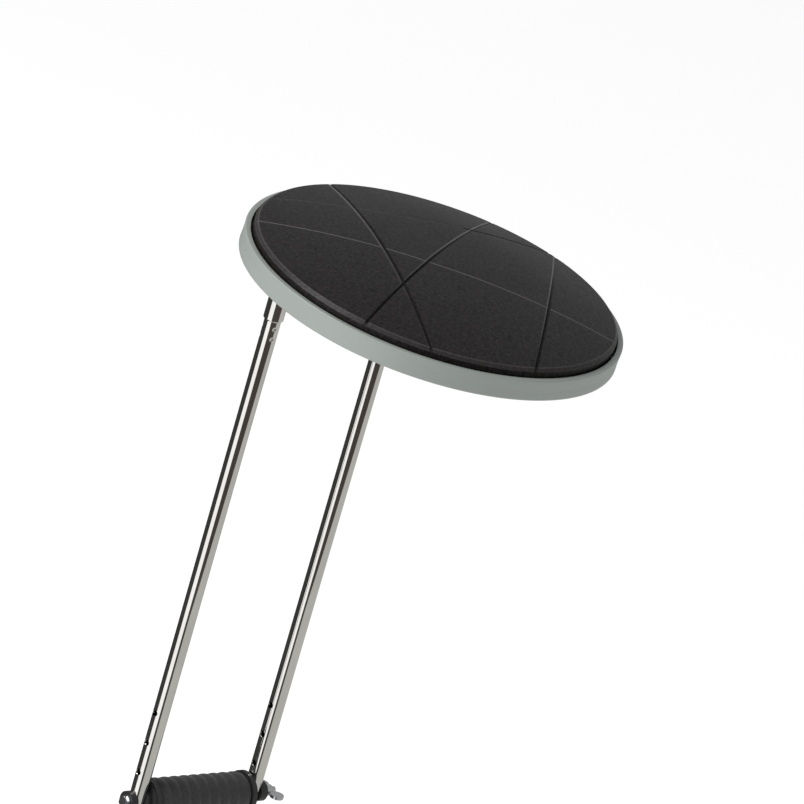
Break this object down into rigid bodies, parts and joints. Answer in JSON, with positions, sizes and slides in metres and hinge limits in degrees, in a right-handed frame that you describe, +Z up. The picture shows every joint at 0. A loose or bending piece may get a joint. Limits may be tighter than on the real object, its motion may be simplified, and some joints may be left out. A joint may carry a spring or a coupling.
{
  "type": "underarm crutch",
  "caption": "Underarm crutch: round crowned pad in a tray, carried beside two slim chromed uprights, with a sliding hand grip and a telescopic leg on a rubber tip.",
  "frame": {"origin": "middle of the rubber tip's sole, with the leg at its rest length", "axes": "+Z up along the leg; the uprights stand side by side at -Y (left) and +Y (right); the arm rest reaches out to +X"},
  "size_m": [0.2878, 0.2876, 1.1948],
  "materials": {
    "pad": "moulded self-skinned foam, fine leather-like grain, satin",
    "ply": "birch plywood, raw",
    "tray_plastic": "fine moulded texture, satin",
    "steel_zinc": "bright zinc plated",
    "bracket_paint": "black powder coat",
    "tube_chrome": "polished chrome plate",
    "black_plastic": "moulded nylon, satin",
    "spring_steel": "oiled spring steel strip",
    "tip_rubber": "moulded rubber, matt",
    "grip_foam": "closed-cell foam, matt"
  },
  "bodies": {
    "frame": {"pad_cushion": "pad", "pad_board": "ply", "board_nuts": "steel_zinc", "rest_tray": "tray_plastic", "rest_screws": "steel_zinc", "rest_washers": "steel_zinc", "head_bracket": "bracket_paint", "post_screws": "steel_zinc", "left_post": "tube_chrome", "right_post": "tube_chrome", "left_upright": "tube_chrome", "right_upright": "tube_chrome", "fork_block": "tray_plastic", "fork_rivets": "steel_zinc", "leg_plug": "black_plastic", "leg_outer_tube": "tube_chrome", "leg_bush": "black_plastic"},
    "leg": {"leg_inner_tube": "tube_chrome", "guide_ring": "black_plastic", "snap_spring": "spring_steel", "tip_washer": "steel_zinc", "rubber_tip": "tip_rubber"},
    "left_snap": {"left_button": "steel_zinc"},
    "right_snap": {"right_button": "steel_zinc"},
    "grip": {"grip_core": "black_plastic", "grip_foam": "grip_foam", "grip_bolt": "steel_zinc", "grip_saddles": "black_plastic"},
    "clamp_washer": {"nut_washer": "steel_zinc"},
    "clamp_nut": {"wing_nut": "steel_zinc"}
  },
  "joints": [
    {"name": "leg_slide", "type": "slide", "parent": "frame", "child": "leg", "axis": [0, 0, -1], "range_m": [-0.05, 0.1]},
    {"name": "left_button_press", "type": "slide", "parent": "leg", "child": "left_snap", "axis": [0, 1, 0], "range_m": [0, 0.0045], "stiffness_N_per_m": 1500, "springref_m": -0.004, "deforming": ["snap_spring"]},
    {"name": "right_button_press", "type": "slide", "parent": "leg", "child": "right_snap", "axis": [0, -1, 0], "range_m": [0, 0.0045], "stiffness_N_per_m": 1500, "springref_m": -0.004},
    {"name": "grip_slide", "type": "slide", "parent": "frame", "child": "grip", "axis": [0, 0, 1], "range_m": [-0.075, 0.075]},
    {"name": "washer_ride", "type": "slide", "parent": "grip", "child": "clamp_washer", "axis": [0, 1, 0], "range_m": [0, 0.0025]},
    {"name": "wing_nut_turn", "type": "hinge", "parent": "clamp_washer", "child": "clamp_nut", "pos_m": [0, 0.067, 0.7], "axis": [0, 1, 0], "range_deg": [0, 1080]}
  ],
  "couplings": [
    {"joint": "washer_ride", "follows": "wing_nut_turn", "m_per_rad": 0.00012732}
  ]
}
